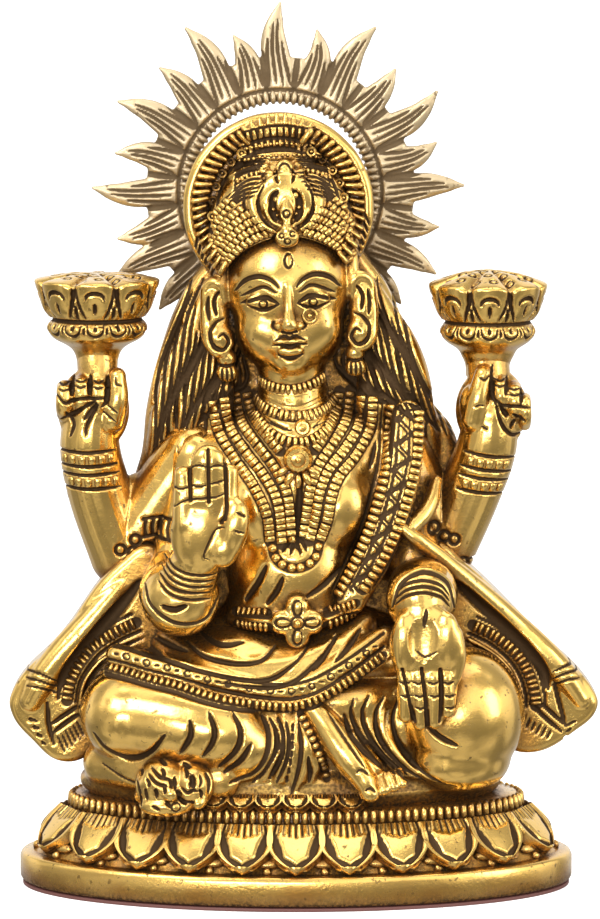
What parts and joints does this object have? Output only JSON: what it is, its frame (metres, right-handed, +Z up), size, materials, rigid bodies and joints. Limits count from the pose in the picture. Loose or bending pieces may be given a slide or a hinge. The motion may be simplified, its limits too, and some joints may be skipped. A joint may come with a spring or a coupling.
{
  "type": "seated goddess idol",
  "caption": "Gold-coloured cast idol of a seated goddess holding lotuses, with a sun halo behind her head, on an oval lotus plinth.",
  "frame": {"origin": "middle of the plinth's underside, on the surface it stands on", "axes": "+Z up, +X to the figure's left hand, the figure faces -Y"},
  "size_m": [0.1184, 0.054, 0.1778],
  "materials": {
    "gold_casting": "polished gold with dark patina in the carving",
    "pale_gold_halo": "antique gold, a little dull, dark in the grooves",
    "maroon_plate": "matt dark maroon paint"
  },
  "bodies": {
    "root": {"goddess_on_lotus_plinth": "gold_casting", "sun_halo": "pale_gold_halo", "base_plate": "maroon_plate"}
  },
  "joints": []
}
